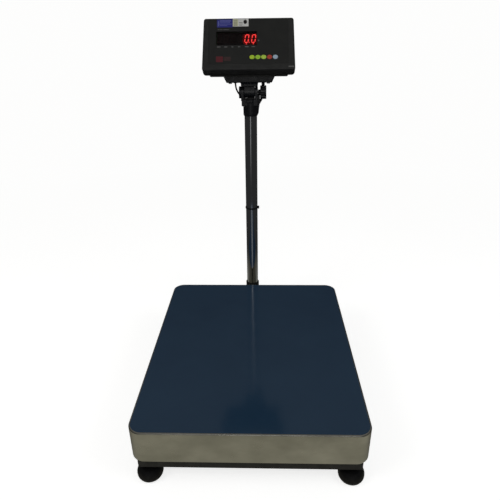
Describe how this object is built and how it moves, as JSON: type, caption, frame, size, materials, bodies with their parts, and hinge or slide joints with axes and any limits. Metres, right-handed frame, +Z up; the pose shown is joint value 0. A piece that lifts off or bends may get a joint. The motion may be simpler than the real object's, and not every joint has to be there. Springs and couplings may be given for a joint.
{
  "type": "pallet scale",
  "caption": "Floor and bench weighing scale: steel pan over a load-cell base with levelling feet, and a tilting digital indicator on a rear column.",
  "frame": {"origin": "on the floor under the middle of the bounding box of the scale without its mains lead", "axes": "+Z up, +X to the right of a user who faces the display, front towards -Y"},
  "size_m": [0.5, 0.712, 0.9064],
  "materials": {
    "stainless_pan": "satin stainless sheet with a brighter folded rim",
    "blue_film": "glossy blue protective film",
    "painted_frame": "black satin paint on steel tube",
    "load_cell_alloy": "machined alloy",
    "zinc_fastener": "zinc plated steel",
    "black_rubber": "moulded black rubber",
    "chrome_column": "mirror chrome",
    "hinge_plastic": "moulded black nylon, slight sheen",
    "housing_plastic": "moulded black ABS, fine texture",
    "overlay_skin": "printed black polycarbonate skin",
    "display_window": "smoked red window",
    "led_module": "red seven-segment module",
    "circuit_board": "green circuit board",
    "battery_case": "black battery case",
    "cable_jacket": "black cable jacket",
    "key_yellow_green": "yellow-green key",
    "key_green": "green key",
    "key_red": "red key",
    "key_pale_blue": "pale blue key"
  },
  "bodies": {
    "base": {"base_rail_left": "painted_frame", "base_rail_right": "painted_frame", "base_rail_front": "painted_frame", "base_rail_rear": "painted_frame", "base_beam": "painted_frame", "load_cell": "load_cell_alloy", "upper_rail_left": "painted_frame", "upper_rail_right": "painted_frame", "upper_rail_front": "painted_frame", "upper_rail_rear": "painted_frame", "upper_beam": "painted_frame", "cell_bolt_lower_1": "zinc_fastener", "cell_bolt_lower_2": "zinc_fastener", "cell_bolt_upper_1": "zinc_fastener", "cell_bolt_upper_2": "zinc_fastener", "pan_pad_1": "black_rubber", "pan_pad_2": "black_rubber", "pan_pad_3": "black_rubber", "pan_pad_4": "black_rubber", "column_bracket": "painted_frame", "bracket_bolt_1": "zinc_fastener", "bracket_bolt_2": "zinc_fastener", "column": "chrome_column", "column_lock_screw": "zinc_fastener", "hinge_collar": "hinge_plastic", "hinge_bolt": "hinge_plastic", "signal_cable": "cable_jacket", "cable_tie": "cable_jacket", "mains_lead": "cable_jacket", "mains_lead_coil": "cable_jacket", "mains_plug": "cable_jacket"},
    "pan": {"weighing_pan": "stainless_pan", "protective_film": "blue_film"},
    "head": {"tilt_bracket": "hinge_plastic", "plate_screw_1": "zinc_fastener", "plate_screw_2": "zinc_fastener", "front_housing": "housing_plastic", "front_overlay": "overlay_skin", "display_window": "display_window", "led_display": "led_module", "main_board": "circuit_board", "battery": "battery_case", "rear_housing": "housing_plastic", "signal_gland": "hinge_plastic", "mains_strain_relief": "hinge_plastic"},
    "knob": {"tilt_knob": "hinge_plastic"},
    "key_1_cap": {"key_1": "key_yellow_green"},
    "key_2_cap": {"key_2": "key_green"},
    "key_3_cap": {"key_3": "key_yellow_green"},
    "key_4_cap": {"key_4": "key_red"},
    "key_5_cap": {"key_5": "key_pale_blue"},
    "foot_1": {"foot_pad_1": "black_rubber", "foot_stud_1": "zinc_fastener"},
    "foot_2": {"foot_pad_2": "black_rubber", "foot_stud_2": "zinc_fastener"},
    "foot_3": {"foot_pad_3": "black_rubber", "foot_stud_3": "zinc_fastener"},
    "foot_4": {"foot_pad_4": "black_rubber", "foot_stud_4": "zinc_fastener"}
  },
  "joints": [
    {"name": "pan_lift", "type": "slide", "parent": "base", "child": "pan", "axis": [0, 0, 1], "range_m": [0, 0.12]},
    {"name": "head_tilt", "type": "hinge", "parent": "base", "child": "head", "pos_m": [-0.0098, 0.317, 0.723], "axis": [1, 0, 0], "range_deg": [-45, 30], "deforming": ["signal_cable", "mains_lead"]},
    {"name": "knob_turn", "type": "hinge", "parent": "base", "child": "knob", "pos_m": [-0.0098, 0.317, 0.723], "axis": [1, 0, 0], "range_deg": [0, 450]},
    {"name": "key_1_press", "type": "slide", "parent": "head", "child": "key_1_cap", "axis": [0, 0.866, -0.5], "range_m": [0, 0.0007], "stiffness_N_per_m": 1500},
    {"name": "key_2_press", "type": "slide", "parent": "head", "child": "key_2_cap", "axis": [0, 0.866, -0.5], "range_m": [0, 0.0007], "stiffness_N_per_m": 1500},
    {"name": "key_3_press", "type": "slide", "parent": "head", "child": "key_3_cap", "axis": [0, 0.866, -0.5], "range_m": [0, 0.0007], "stiffness_N_per_m": 1500},
    {"name": "key_4_press", "type": "slide", "parent": "head", "child": "key_4_cap", "axis": [0, 0.866, -0.5], "range_m": [0, 0.0007], "stiffness_N_per_m": 1500},
    {"name": "key_5_press", "type": "slide", "parent": "head", "child": "key_5_cap", "axis": [0, 0.866, -0.5], "range_m": [0, 0.0007], "stiffness_N_per_m": 1500},
    {"name": "foot_1_turn", "type": "hinge", "parent": "base", "child": "foot_1", "pos_m": [-0.219, -0.326, 0], "axis": [0, 0, 1], "continuous": true},
    {"name": "foot_2_turn", "type": "hinge", "parent": "base", "child": "foot_2", "pos_m": [0.219, -0.326, 0], "axis": [0, 0, 1], "continuous": true},
    {"name": "foot_3_turn", "type": "hinge", "parent": "base", "child": "foot_3", "pos_m": [-0.219, 0.214, 0], "axis": [0, 0, 1], "continuous": true},
    {"name": "foot_4_turn", "type": "hinge", "parent": "base", "child": "foot_4", "pos_m": [0.219, 0.214, 0], "axis": [0, 0, 1], "continuous": true}
  ]
}
